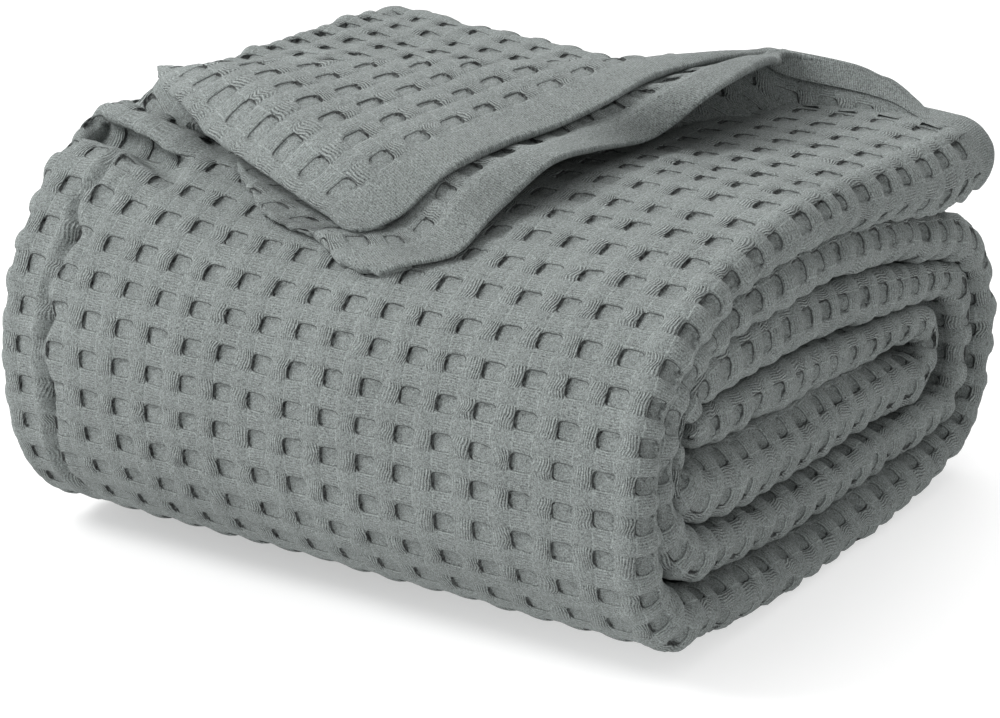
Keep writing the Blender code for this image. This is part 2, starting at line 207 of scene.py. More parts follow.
EDGE_SECTIONS = 6  # the fold goes on in the direction of this many sections
EDGE_DROP = 0.40  # and bends down to the strip
NEAR_FOLD = 1.2  # the fold holds the ply up this far inwards
EDGE_SAG_UPPER = 0.35  # the plies sag near it
EDGE_SAG_LOWER = 0.90
SAG_UPPER_U = (1.0, -0.2)
SAG_LOWER_U = (2.4, 0.6)
SAG_WINDOW = (0.0, 1.5, 5.5, 7.5)  # but not at the upper ply's hem and ridge
# How far the left fold stands out past the table's first row: place from the hem, reach
LEFT_EDGE_UPPER = (
    (0.0, 0.25), (0.3, 0.20), (0.7, 0.13), (1.35, 0.06), (2.05, 0.02), (4.5, 0.0), (6.0, 0.05),
    (8.5, 0.1), (10.0, -0.1), (13.0, -0.2),
)
LEFT_EDGE_LOWER = (
    (0.0, 0.35), (0.15, 0.60), (0.35, 0.78), (0.6, 0.93), (0.9, 1.10), (1.25, 1.25), (1.65, 1.35),
    (2.4, 1.30), (3.95, 0.85), (5.5, 0.2), (7.0, -0.4), (8.5, -1.2), (12.0, -1.2),
)

# ---- sizes of the weave ----

COLUMN_ZERO = 8.35  # x of the waffle column next to the right fold noses
ROW_ZERO = (-9.3, 4.9)  # y and z of the row in the middle of the front
# y and z of the waffle rows seen on the front and the top, in their own order
ROWS_SEEN = (
    (-4, -8.47, 1.47), (-3, -8.91, 2.25), (-2, -9.20, 3.10), (-1, -9.32, 4.01), (0, -9.30, 4.90),
    (1, -9.13, 5.78), (2, -8.79, 6.59), (3, -8.19, 7.29), (4, -7.39, 7.89), (5, -6.47, 8.40),
    (6, -5.54, 8.76), (7, -4.57, 9.01), (8, -3.58, 9.18), (9, -2.53, 9.32), (10, -1.50, 9.42),
    (11, -0.51, 9.50), (14, 2.50, 9.50), (17.7, 6.20, 9.62), (18.7, 7.20, 9.64),
)
HEM_WIDTH = 1.0  # plain band along the cut ends, in cells
HEM_RISE = 0.035  # the band is double, so it stands a little proud
LOWER_BAND = 0.82  # and a little narrower on the corner's lower ply
FIRST_ROW = 0.46  # from the corner's band to its first row of pockets
POCKET_U = 0.262  # half width and half length of a pocket
POCKET_V = 0.232
POCKET_DEPTH = 0.042
POCKET_UNEVEN = 0.22  # the depth differs by this share
TRENCH = (0.032, 0.86, 0.10)  # line at its far and left edges: depth, place, width
FLOAT_SWELL = 0.062  # the float threads beside a pocket stand proud by this
FLOAT_UNEVEN = 0.25  # that differs by this share
CROSS_SWELL = 0.052  # and the smooth patches between them
FLAT_SWELL = 0.026  # and the ribbed patches before and behind it
FLOOR_SWELL = (0.014, 0.24, 0.22)  # the pocket's floor swells: height, half width, half length
FLOAT_FROM = 0.225  # the floats lie beside the pocket from here
FLOAT_FULL = 0.275
FLOAT_ENDS = (0.29, 0.21)  # and along the strip between these two
FLOAT_WIDTH = 0.28  # half width and half length of a float
FLOAT_LENGTH = 0.30
CROSS_LENGTH = 0.29  # half length of the patches between pockets
PATCH = (0.24, 0.29)  # the ribbed patches begin and are full here
PULL = 0.045  # cells are pulled out of place by this, and finely
FINE_PULL = 0.018
LEAN = 0.040  # the floats hang over the pocket on their right

SMALLEST_QUAD = 1e-11  # square metres; the grid closes up inside the stack
LOWEST = 0.0002  # metres above the floor

# Grid lines on each side of a cell's middle, closer together at the pockets' edges
LINES_FINE = (0.11, 0.215, 0.245, 0.268, 0.295, 0.34, 0.42)
LINES_SMOOTH = (0.11, 0.21, 0.25, 0.285, 0.33, 0.42)
LINES_MAIN = (0.21, 0.245, 0.272, 0.305, 0.39)
LINES_PLAIN = (0.21, 0.262, 0.32)
LINES_APART = 0.02  # none is nearer to a piece's edge than this


# ---- shape functions shared with the solid ----

def smooth_step(value):
    """Ease from 0 to 1 as the value goes from 0 to 1."""
    t = np.clip(value, 0.0, 1.0)
    return t * t * (3.0 - 2.0 * t)


def ramp(value, start, end):
    """Ease from 0 to 1 as the value goes from start to end."""
    return smooth_step((value - start) / (end - start))


def window(value, start, full, fade, gone):
    """1 from full to fade, 0 before start and past gone."""
    return ramp(value, start, full) * ramp(value, gone, fade)


def bump(value, size, middle, width):
    """A round swell of the given size around the middle."""
    return size * np.exp(-((value - middle) / width) ** 2)


def bezier(points, count):
    """Points along a cubic Bezier, without its first one."""
    t = np.linspace(0.0, 1.0, count + 1)[1:, None]
    a, b, c, d = (np.array(p, float) for p in points)
    return (1 - t) ** 3 * a + 3 * (1 - t) ** 2 * t * b + 3 * (1 - t) * t ** 2 * c + t ** 3 * d


def through(run, values):
    """The polynomial over y that goes through values spread evenly over the run."""
    return np.polyfit(np.linspace(run[1], run[2], len(values)), values, len(values) - 1)


def run_point(run, side):
    """Where the run's middle line ends on one side, and its slope there."""
    curve = through(run, run[3:7])
    y = run[1] if side == "front" else run[2]
    return np.array([y, np.polyval(curve, y)]), np.polyval(np.polyder(curve), y)


def turn_points(run_in, turn, run_out, count):
    """A turn's middle line as two quarters that leave both runs smoothly."""
    side = "back" if turn[1] > 0 else "front"
    tip = np.array(turn[1:3])
    halves = []
    for run in (run_in, run_out):
        end, slope = run_point(run, side)
        reach = TURN_ROUNDNESS * (tip[0] - end[0])
        near = end + np.array([reach, slope * reach])
        far = tip - np.array([0.0, TURN_ROUNDNESS * (tip[1] - end[1])])
        halves.append((end, near, far, tip))
    return np.vstack([bezier(halves[0], count), bezier(halves[1][::-1], count)])


def centre_line(stations):
    """The strip's middle line, its thickness and how far its noses reach, at each station."""
    per_run, per_quarter = stations
    line, thick, left, right = [], [], [], []
    for i, (run, nose) in enumerate(zip(RUNS, NOSES)):
        share = np.linspace(0.0, 1.0, per_run)
        if i % 2:
            share = share[::-1]
        share = share[min(i, 1):]
        ys = run[1] + (run[2] - run[1]) * share
        line.extend(zip(ys, np.polyval(through(run, run[3:7]), ys)))
        thick.extend(np.polyval(through(run, run[7:10]), ys))
        left.extend(nose[0] + (nose[1] - nose[0]) * smooth_step(share))
        right.extend(nose[2] + (nose[3] - nose[2]) * smooth_step(share))
        if i < len(TURNS):
            turn, after = TURNS[i], RUNS[i + 1]
            line.extend(turn_points(run, turn, after, per_quarter))
            blend = smooth_step(np.linspace(0.0, 1.0, per_quarter + 1)[1:])
            end = int(turn[1] > 0)
            thick.extend(run[7 + 2 * end] + (turn[3] - run[7 + 2 * end]) * blend)
            thick.extend(turn[3] + (after[7 + 2 * end] - turn[3]) * blend)
            both = smooth_step(np.linspace(0.0, 1.0, 2 * per_quarter + 1)[1:])
            left.extend(nose[end] + (NOSES[i + 1][end] - nose[end]) * both)
            right.extend(nose[2 + end] + (NOSES[i + 1][2 + end] - nose[2 + end]) * both)
    return np.array(line), np.array(thick), np.array(left), np.array(right)


def arc_of(line):
    """Distance along a line of points, from its first one."""
    return np.concatenate([[0.0], np.cumsum(np.linalg.norm(np.diff(line, axis=0), axis=1))])


def make_room(line, thick):
    """Thin the strip where its turns would come nearer to each other than RUN_GAP."""
    arc = arc_of(line)
    fine = np.arange(0.0, arc[-1], ROOM_STEP)
    place = np.stack([np.interp(fine, arc, line[:, k]) for k in (0, 1)], axis=1)
    width = np.interp(fine, arc, thick)
    apart = np.linalg.norm(place[:, None] - place[None], axis=2)
    wanted = 0.5 * (width[:, None] + width[None])
    share = np.where(np.abs(fine[:, None] - fine[None]) > ROOM_REACH, (apart - RUN_GAP) / wanted, 1.0)
    share = np.minimum(share.min(axis=1), 1.0)
    spread = int(ROOM_SPREAD / ROOM_STEP)
    share = np.array([share[max(i - spread, 0):i + spread + 1].min() for i in range(len(share))])
    return thick * np.interp(arc, fine, share)


def lift(x, y, z):
    """The stack stands higher towards its loose left end, and most at the front shoulder there."""
    across = np.clip((RISE_FROM - x) / RISE_LENGTH, 0.0, RISE_MOST) ** RISE_POWER
    shoulder = ramp(x, *SHOULDER_X) * bump(y, 1.0, *SHOULDER_Y)
    return (RISE * across + SHOULDER * shoulder) * ramp(z, *RISE_Z)


class Strip:
    """The wound strip as a surface over its rows and columns."""

    def __init__(self):
        rough_line, rough_thick, _, _ = centre_line(COARSE)
        rough_arc = arc_of(rough_line)
        rough_thick = make_room(rough_line, rough_thick)
        self.line, _, self.left, self.right = centre_line(FINE)
        self.arc = arc_of(self.line)
        self.half = 0.5 * np.interp(self.arc * rough_arc[-1] / self.arc[-1], rough_arc, rough_thick)
        tangent = np.gradient(self.line, self.arc, axis=0)
        tangent /= np.linalg.norm(tangent, axis=1)[:, None]
        self.normal = np.stack([-tangent[:, 1], tangent[:, 0]], axis=1)
        self.end_arc = self.arc[-1] - (RUNS[-1][2] - RUNS[-1][1])
        self.grid_arc, self.grid_row = self.places_of_rows()
        self.first_row, self.last_row = self.grid_row[0], self.grid_row[-1]

    def places_of_rows(self):
        """Stations along the strip and the waffle row at each, smooth through the rows seen."""
        outer = self.line + self.normal * self.half[:, None]
        first = np.searchsorted(self.arc, self.arc[-1] - SEEN_LENGTH)
        arcs, rows = [], []
        for row, y, z in ROWS_SEEN:
            gap = np.hypot(outer[first:, 0] - y, outer[first:, 1] - z)
            arcs.append(self.arc[first + int(np.argmin(gap))])
            rows.append(row)
        start = rows[0] - arcs[0]
        stations = np.linspace(0.0, self.arc[-1], ROW_STATIONS)
        soft = np.interp(stations, [0.0] + arcs, [start] + rows)
        side = ROW_SMOOTHING // 2
        before = 2 * soft[0] - soft[side:0:-1]
        after = 2 * soft[-1] - soft[-2:-side - 2:-1]
        kernel = np.ones(ROW_SMOOTHING) / ROW_SMOOTHING
        return stations, np.convolve(np.concatenate([before, soft, after]), kernel, mode="valid")

    def at(self, row, u, share=1.0):
        """Points of the cloth for every row and column; a smaller share lies inside the noses."""
        beyond = np.maximum(row - self.last_row, 0.0)[:, None]
        s = np.interp(row, self.grid_row, self.grid_arc)
        pick = [np.interp(s, self.arc, v) for v in (
            self.line[:, 0], self.line[:, 1], self.normal[:, 0], self.normal[:, 1], self.half,
            self.left, self.right)]
        cy, cz, ny, nz, half, left, right = (p[:, None] for p in pick)
        ny, nz = ny / np.hypot(ny, nz), nz / np.hypot(ny, nz)
        half = half * np.sqrt(np.clip(s[:, None] / START_TAPER, THINNEST ** 2, 1.0))
        left = left + bump(row[:, None], SHOULDER_REACH, SHOULDER_ROW, SHOULDER_ROWS)
        x0 = u[None, :] + COLUMN_ZERO
        lim_r = STRIP_REACH + right - half
        lim_l = -(STRIP_REACH + left - half)
        half = half * share
        over_r = np.maximum(x0 - lim_r, 0.0)
        over_l = np.maximum(lim_l - x0, 0.0)
        over = over_r + over_l
        side = np.where(over_r > 0.0, 1.0, -1.0)
        angle = np.clip(over / half, 0.0, math.pi)
        under = np.maximum(over - math.pi * half, 0.0)
        x = np.clip(x0, lim_l, lim_r) + side * (np.sin(angle) * half - under)
        offset = np.cos(angle) * half
        y = cy + ny * offset
        z = cz + nz * offset
        ending = ramp(s, self.end_arc, self.arc[-1])[:, None]
        x = x + END_FLARE * ending * ramp(x, *END_FLARE_X)
        y = y + END_SKEW * ending * ramp(x, *END_SKEW_X)
        z = z + lift(x, y, z) - END_DROP * ending * ramp(x, *END_DROP_X)
        # past its last row the cloth droops on the left, elsewhere it is turned under
        turn = np.clip(beyond / DROOP_RADIUS, 0.0, 0.5 * math.pi)
        hang = np.maximum(beyond - 0.5 * math.pi * DROOP_RADIUS, 0.0)
        droop = ramp(x, *DROOP_X) * smooth_step((offset - 0.2 * half) / half * 3.0)
        fold = np.clip(beyond / (0.5 * HEM_THICKNESS), 0.0, math.pi)
        back = np.maximum(beyond - 0.5 * math.pi * HEM_THICKNESS, 0.0)
        y = y + droop * np.sin(turn) * DROOP_RADIUS
        z = z - droop * ((1.0 - np.cos(turn)) * DROOP_RADIUS + hang)
        turned = 1.0 - droop
        y = y + turned * (0.5 * HEM_THICKNESS * np.sin(fold) - back)
        sink = turned * 0.5 * HEM_THICKNESS * (1.0 - np.cos(fold))
        x = x - side * np.sin(angle) * sink
        z = z - np.cos(angle) * sink
        return np.stack([x, y, np.maximum(z, 0.0)], axis=2)

    def hem_distance(self, row, u):
        """How far a place is from the cloth's end."""
        x = u[None, :] + COLUMN_ZERO
        extra = DROOP_LENGTH * ramp(x, *DROOP_X) * ramp(x, *DROOP_LEFT_X)
        return np.abs(self.last_row + extra - row[:, None])


def shoulder_fold(u, v):
    """Loose cloth over the left front shoulder: its height and how far it hangs forwards."""
    rim = RIM_ROW - sum(size * ramp(u, start, end) for size, start, end in RIM_STEPS)
    behind = v - rim - RIM_NOISE * soft_noise(u / 0.8, 0.0 * v, 20.0)
    shown = window(u, *RIM_WINDOW)
    height = (bump(behind, *RIM_SWELL) - bump(behind, *HOLLOW)) * shown
    hang = (bump(behind, *RIM_HANG) - bump(behind, *HOLLOW_HANG)) * shown
    dip = bump(behind, *SLOT_DIP) * window(u, *SLOT_WINDOW)
    loose = LOOSE_SWELL * ramp(u, *LOOSE_U) * ramp(v, *LOOSE_V)
    uneven = soft_noise(u / 1.1 + 0.4 * v, v / 0.9, 21.0)
    return height - dip + loose * uneven - left_crease(u, v), hang


def left_crease(u, v):
    """Depth of the crumpled crease down the front."""
    place = u - CREASE_COLUMN - CREASE_SWAY * soft_noise(v / 0.75, 0.0 * v, 41.0)
    depth = bump(place, *CREASE) - bump(place, *CREASE_LEFT) - bump(place, *CREASE_RIGHT)
    depth = depth * (CREASE_DEEP + CREASE_UNEVEN * soft_noise(v / 0.45, 0.0 * v, 42.0))
    lumps = bump(place, *CREASE_LUMPS) * soft_noise(u / 0.5, v / 0.22, 43.0)
    return depth * window(v, *CREASE_WINDOW) - lumps


# ---- the weave ----

def hash_noise(i, j, seed):
    """A repeatable random number from -1 to 1 for each pair of whole numbers."""
    value = np.sin(i * 127.1 + j * 311.7 + seed * 74.7) * 43758.5453
    return 2.0 * (value - np.floor(value)) - 1.0


def soft_noise(u, v, seed):
    """Smooth noise, one wave per unit; the seed tells one from another."""
    iu, iv = np.floor(u), np.floor(v)
    fu, fv = smooth_step(u - iu), smooth_step(v - iv)
    low = hash_noise(iu, iv, seed) * (1 - fu) + hash_noise(iu + 1, iv, seed) * fu
    high = hash_noise(iu, iv + 1, seed) * (1 - fu) + hash_noise(iu + 1, iv + 1, seed) * fu
    return low * (1 - fv) + high * fv


def warped(u, v):
    """Places in the weave after small pulls, so that no two cells are alike."""
    coarse, fine = (0.8 * u, 0.8 * v), (2.3 * u, 2.3 * v)
    wu = u + PULL * soft_noise(*coarse, 1.0) + FINE_PULL * soft_noise(*fine, 7.0)
    wv = v + PULL * soft_noise(*coarse, 2.0) + FINE_PULL * soft_noise(*fine, 8.0)
    return wu, wv


def dome(distance, half):
    """1 in the middle of a patch and 0 at half its size."""
    return np.clip(1.0 - (distance / half) ** 2, 0.0, 1.0)


def weave(u, v):
    """Height of the waffle relief at a place in the weave, and its shift across."""
    iu, iv = np.round(u), np.round(v)
    a, b = u - iu, v - iv
    far_a, far_b = np.abs(a), np.abs(b)
    beside = ramp(far_a, FLOAT_FROM, FLOAT_FULL)
    level = ramp(far_b, *FLOAT_ENDS)

    # the smooth float threads beside a pocket, and the patches where they cross
    wide = dome(0.5 - far_a, FLOAT_WIDTH)
    arch = np.cos(np.clip(b / FLOAT_LENGTH, -1.0, 1.0) * 0.5 * math.pi)
    floats = beside * level
    puff = 1.0 + FLOAT_UNEVEN * hash_noise(np.floor(u), iv, 6.0)
    height = FLOAT_SWELL * puff * floats * wide ** 0.7 * arch ** 0.5
    long = dome(0.5 - far_b, CROSS_LENGTH)
    height = height + CROSS_SWELL * beside * (1.0 - level) * wide ** 0.6 * long ** 0.6
    height = height + FLAT_SWELL * (1.0 - beside) * ramp(far_b, *PATCH) * long

    # the pocket, deepest along its far and left edges
    edge = ((far_a / POCKET_U) ** 4 + (far_b / POCKET_V) ** 4) ** 0.25
    depth = POCKET_DEPTH * (1.0 + POCKET_UNEVEN * hash_noise(iu, iv, 5.0))
    swell, half_u, half_v = FLOOR_SWELL
    floor = swell * np.clip(1.0 - (a / half_u) ** 2 - (b / half_v) ** 2, 0.0, 1.0)
    height = height + (floor - depth) * ramp(edge, 1.05, 0.85)
    rim = bump(edge, *TRENCH) * np.maximum(ramp(b, 0.0, 0.15), ramp(a, 0.0, -0.2))
    return height - rim * (edge < 1.0), LEAN * floats * wide * arch


def wrinkles(u, v, amount):
    """Slow waves of the lying cloth."""
    wave = 0.6 * soft_noise(u / 3.1, v / 2.3, 11.0) + 0.4 * soft_noise(u / 1.4, v / 1.7, 12.0)
    return amount * wave


def cell_lines(low, high, lines):
    """Grid lines from low to high, at each cell's border and middle and at the places given."""
    cells = np.arange(math.floor(low) - 1, math.ceil(high) + 2)
    half = np.array(lines)
    in_cell = np.concatenate([[-0.5], -half[::-1], [0.0], half])
    places = (cells[:, None] + in_cell).ravel()
    places = places[(places > low + LINES_APART) & (places < high - LINES_APART)]
    return np.concatenate([[low], places, [high]])


# ---- materials ----

CLOTH_TINT = (0.219, 0.241, 0.235)
CLOTH_SHADER = {
    "Roughness": 0.93, "Sheen Weight": 0.08, "Sheen Roughness": 0.55, "Specular IOR Level": 0.15,
}
BUMP_DISTANCE = 0.001  # metres
POCKET_EDGE_PAINTED_SHADOW = 0.83  # painted shadow: how much darker the lines at a pocket's edges are
# painted shade: how much darker a pocket's floor is towards its left and top
POCKET_FLOOR_PAINTED_SHADE = 0.06
THREADS = 15.0  # float threads and ribs in one cell
FINE_THREADS = 38.0
BAND_THREADS = 17.0
STITCHES = 5.0
# what each part of the weave adds to the height of the bumps, and to the tone
HEIGHTS = {
    "threads": 0.30, "ribbing": 0.08, "across": 0.05, "fuzz": 0.60, "lumps": 0.32, "slubs": 0.45,
    "border": 0.20, "stitches": -0.20, "line": -0.25, "band": 0.12,
}
# the border's tone is partly a painted highlight, on the lit edge under each pocket
TONES = {
    "blotches": 0.26, "mottling": 2.3, "slubs": 1.15, "specks": 0.55, "cells": 0.22, "threads": 0.46,
    "ribbing": 0.16, "border": 0.30, "stitches": -0.12, "band": 0.14,
}


def fill(node, values):
    """Set a node's inputs by their names."""
    for name, value in values.items():
        node.inputs[name].default_value = value


class Nodes:
    """Short names for the nodes of one material."""

    def __init__(self, tree):
        self.tree = tree

    def set(self, node, values):
        for socket, value in zip(node.inputs, values):
            if isinstance(value, (int, float)):
                socket.default_value = value
            else:
                self.tree.links.new(value, socket)
        return node.outputs[0]

    def math(self, operation, *values):
        node = self.tree.nodes.new("ShaderNodeMath")
        node.operation = operation
        return self.set(node, values)

    def add(self, first, *others):
        for other in others:
            first = self.math("ADD", first, other)
        return first

    def times(self, first, *others):
        for other in others:
            if other != 1.0:
                first = self.math("MULTIPLY", first, other)
        return first

    def ramp(self, value, low, high):
        """0 below low, 1 above high and smooth between; the other way round if low is higher."""
        node = self.tree.nodes.new("ShaderNodeMapRange")
        node.interpolation_type = "SMOOTHSTEP"
        return self.set(node, (value, low, high, 0.0, 1.0))

    def noise(self, coords, scale, detail, size=1.0):
        """Noise around 0."""
        node = self.tree.nodes.new("ShaderNodeTexNoise")
        fill(node, {"Scale": scale, "Detail": detail})
        self.tree.links.new(coords, node.inputs["Vector"])
        return self.times(self.math("SUBTRACT", node.outputs["Fac"], 0.5), size)

    def grain(self, coords, per_u, per_v):
        """Noise that is stretched along the threads."""
        node = self.tree.nodes.new("ShaderNodeVectorMath")
        node.operation = "MULTIPLY"
        self.tree.links.new(coords, node.inputs[0])
        node.inputs[1].default_value = (per_u, per_v, 1.0)
        return self.noise(node.outputs[0], 1.0, 2.0)

    def waves(self, value, per_unit):
        return self.math("SINE", self.times(value, 2.0 * math.pi * per_unit))

    def near(self, value, middle, gone, full):
        """1 where the value is within full of the middle, 0 from gone on."""
        return self.ramp(self.math("ABSOLUTE", self.math("SUBTRACT", value, middle)), gone, full)

    def inverse(self, value):
        return self.math("SUBTRACT", 1.0, value)

    def coordinates(self):
        return self.tree.nodes.new("ShaderNodeTexCoord").outputs

    def split(self, vector):
        node = self.tree.nodes.new("ShaderNodeSeparateXYZ")
        self.tree.links.new(vector, node.inputs[0])
        return node.outputs

    def weighted(self, parts, weights):
        """Sum of the named parts, each times its weight."""
        return self.add(*(self.times(parts[name], weight) for name, weight in weights.items()))


def pocket_parts(n, u, v, woven, cells):
    """The place along a cell, and masks of its patches, of the painted shadow lines at its pocket's
    edges, of its bright lines and painted highlights, and of the painted shade in its corner.
    """
    a, b = n.math("WRAP", u, 0.5, -0.5), n.math("WRAP", v, 0.5, -0.5)
    far_a, far_b = n.math("ABSOLUTE", a), n.math("ABSOLUTE", b)
    fourth_a = n.math("POWER", n.math("DIVIDE", far_a, POCKET_U), 4.0)
    fourth_b = n.math("POWER", n.math("DIVIDE", far_b, POCKET_V), 4.0)
    edge = n.math("POWER", n.add(fourth_a, fourth_b), 0.25)
    floats = n.times(n.ramp(far_a, FLOAT_FROM, 0.265), n.ramp(far_b, 0.30, 0.24), woven)
    ribs = n.times(n.ramp(far_a, FLOAT_FROM, 0.195), n.ramp(far_b, 0.235, 0.265), woven)

    # painted shadow: dark lines along a pocket's left and top edges, thickest on the left, where its
    # walls shade it, and a fainter dark line along its bottom edge
    thin, thick = n.near(edge, 0.99, 0.075, 0.012), n.near(edge, 0.95, 0.10, 0.035)
    left = n.ramp(a, -0.12, -0.20)
    level = n.math("MAXIMUM", n.times(n.ramp(b, 0.04, 0.18), 0.85), n.times(n.ramp(b, -0.10, -0.19), 0.5))
    uneven = n.add(n.noise(cells, 7.0, 1.0, 1.6), 0.85)
    line = n.math("MAXIMUM", n.times(thin, n.math("MAXIMUM", level, left)), n.times(thick, left, uneven))
    # painted shade: the pocket's floor is darkened towards its left and top corner
    inside = n.times(n.ramp(edge, 1.0, 0.9), woven)
    corner = n.times(inside, n.ramp(n.math("SUBTRACT", n.times(b, 0.5), a), 0.0, 0.34))

    # thin bright lines along the ribbed patches' sides, and a painted highlight along the lit lower edge
    # under each pocket
    border = n.times(n.near(far_a, 0.232, 0.024, 0.004), n.ramp(far_b, 0.24, 0.27))
    painted_highlight_under_pocket = n.times(n.near(b, -0.262, 0.024, 0.004), n.ramp(far_a, 0.26, 0.22))
    border = n.times(n.math("MAXIMUM", border, painted_highlight_under_pocket), woven)
    return b, floats, ribs, {"line": n.times(line, woven), "border": border}, corner


def cotton_material():
    """Stonewashed grey green waffle cotton: float threads, plain weave, fuzz, and painted shade and
    highlights at the pockets.
    """
    material = bpy.data.materials.new("waffle_cotton")
    material.use_nodes = True
    tree = material.node_tree
    shader = tree.nodes["Principled BSDF"]
    n = Nodes(tree)
    layer = tree.nodes.new("ShaderNodeUVMap")
    layer.uv_map = "cells"
    cells = layer.outputs[0]
    u, v, _ = n.split(cells)
    edge_layer = tree.nodes.new("ShaderNodeAttribute")
    edge_layer.attribute_name = "hem"
    hem = edge_layer.outputs["Fac"]
    place = n.coordinates()["Object"]
    woven = n.ramp(hem, HEM_WIDTH - 0.02, HEM_WIDTH + 0.03)
    b, floats, ribs, parts, corner = pocket_parts(n, u, v, woven, cells)

    # float threads run along the strip, bow sideways and are uneven
    bend = n.add(n.noise(cells, 2.1, 1.0, 0.16), n.noise(cells, 8.0, 2.0, 0.035))
    bow = n.times(n.waves(n.add(b, n.noise(cells, 0.9, 0.0, 1.2)), 1.3), 0.032)
    to_pocket = n.ramp(n.math("WRAP", n.math("SUBTRACT", u, 0.5), 0.5, -0.5), -0.20, 0.20)
    strength = n.add(n.times(to_pocket, 0.75), n.noise(cells, 6.0, 2.0, 1.3), 0.35)
    threads = n.waves(n.math("SUBTRACT", n.add(u, bend), bow), THREADS)
    parts["threads"] = n.times(threads, floats, strength)
    parts["ribbing"] = n.times(n.waves(n.add(v, n.noise(cells, 2.3, 2.0, 0.12)), THREADS), ribs)
    parts["across"] = n.times(n.waves(u, FINE_THREADS), n.waves(v, FINE_THREADS))
    parts["slubs"] = n.add(n.grain(cells, 13.0, 52.0), n.grain(cells, 52.0, 13.0))
    parts["fuzz"] = n.noise(place, 2200.0, 3.0)
    parts["lumps"] = n.noise(place, 480.0, 2.0)

    # the hem's plain band and its stitches
    parts["band"] = n.times(n.waves(n.add(u, n.times(bend, 0.3)), BAND_THREADS), n.inverse(woven))
    seam = n.near(hem, HEM_WIDTH - 0.10, 0.035, 0.012)
    parts["stitches"] = n.times(seam, n.ramp(n.waves(u, STITCHES), -0.35, 0.1))

    relief = tree.nodes.new("ShaderNodeBump")
    fill(relief, {"Strength": 1.0, "Distance": BUMP_DISTANCE})
    tree.links.new(n.weighted(parts, HEIGHTS), relief.inputs["Height"])
    tree.links.new(relief.outputs[0], shader.inputs["Normal"])

    # colour: blotches, mottling, dark lines between threads, painted shadow lines at pocket edges,
    # painted shade in the pockets and painted highlights under them
    parts["blotches"] = n.noise(place, 24.0, 3.0)
    parts["mottling"] = n.noise(place, 2000.0, 3.0)
    parts["specks"] = n.noise(place, 700.0, 2.0)
    parts["cells"] = n.noise(cells, 3.0, 2.0)
    # the tone is darkened by the painted shadow lines and the painted shade in the pockets
    tone = n.times(n.add(n.weighted(parts, TONES), 1.0), n.inverse(n.times(parts["line"], POCKET_EDGE_PAINTED_SHADOW)),
                   n.inverse(n.times(corner, POCKET_FLOOR_PAINTED_SHADE)))
    tint = tree.nodes.new("ShaderNodeVectorMath")
    tint.operation = "SCALE"
    tint.inputs[0].default_value = CLOTH_TINT
    tree.links.new(tone, tint.inputs["Scale"])
    tree.links.new(tint.outputs[0], shader.inputs["Base Color"])
    fill(shader, CLOTH_SHADER)
    return material


COTTON = cotton_material()


# ---- pieces ----

def new_object(name, data):
    obj = bpy.data.objects.new(name, data)
    bpy.context.scene.collection.objects.link(obj)
    return obj


def unit(vectors):
    """The vectors with a length of 1, or 0 where they have none."""
    length = np.linalg.norm(vectors, axis=-1, keepdims=True)
    return vectors / np.maximum(length, 1e-9)


def normals_of(points):
    """The normals of a grid of points."""
    return unit(np.cross(np.gradient(points, axis=1), np.gradient(points, axis=0)))


def woven_surface(points, u, v, wu, wv, hem, relief, wave):
    """The points in metres, with the cloth's waves and the waffle relief."""
    height, lean = weave(wu, wv)
    plain = 1.0 - ramp(hem, HEM_WIDTH, HEM_WIDTH + 0.06)
    groove = bump(hem, 1.0, HEM_WIDTH + 0.02, 0.045)
    height = height * (1.0 - plain) * relief + wrinkles(u, v, wave)
    height = height + HEM_RISE * np.sign(relief) * (plain - groove)
    lean = lean * (1.0 - plain) * np.sign(u[0, -1] - u[0, 0])
    across = unit(np.gradient(points, axis=1))
    points = points + normals_of(points) * height[:, :, None] + across * lean[:, :, None]
    points = (points + np.array(SHIFT)) * CELL
    points[:, :, 2] = np.maximum(points[:, :, 2], LOWEST)
    return points


def grid_piece(name, points, u, v, hem, relief, wave):
    """A piece of cloth from a grid of points and each point's place in the weave."""
    wu, wv = warped(u, v)
    flat = woven_surface(points, u, v, wu, wv, hem, relief, wave).reshape(-1, 3)
    index = np.arange(u.size).reshape(u.shape)
    quads = np.stack([index[:-1, :-1], index[:-1, 1:], index[1:, 1:], index[1:, :-1]], axis=2)
    quads = quads.reshape(-1, 4)
    diagonals = flat[quads[:, 2]] - flat[quads[:, 0]], flat[quads[:, 3]] - flat[quads[:, 1]]
    quads = quads[np.linalg.norm(np.cross(*diagonals), axis=1) > SMALLEST_QUAD]
    used, quads = np.unique(quads, return_inverse=True)
    mesh = bpy.data.meshes.new(name)
    mesh.from_pydata(flat[used].tolist(), [], quads.reshape(-1, 4).tolist())
    loops = np.empty(len(mesh.loops), dtype=np.int32)
    mesh.loops.foreach_get("vertex_index", loops)
    loops = used[loops]
    uv = mesh.uv_layers.new(name="cells")
    uv.data.foreach_set("uv", np.stack([wu.ravel()[loops], wv.ravel()[loops]], axis=1).ravel())
    distance = mesh.attributes.new("hem", "FLOAT", "POINT")
    hem = np.broadcast_to(hem, u.shape).ravel()[used]
    distance.data.foreach_set("value", hem.astype(np.float32))
    mesh.shade_smooth()
    mesh.materials.append(COTTON)
    obj = new_object(name, mesh)
    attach(obj, "root")
    return obj


STRIP = Strip()


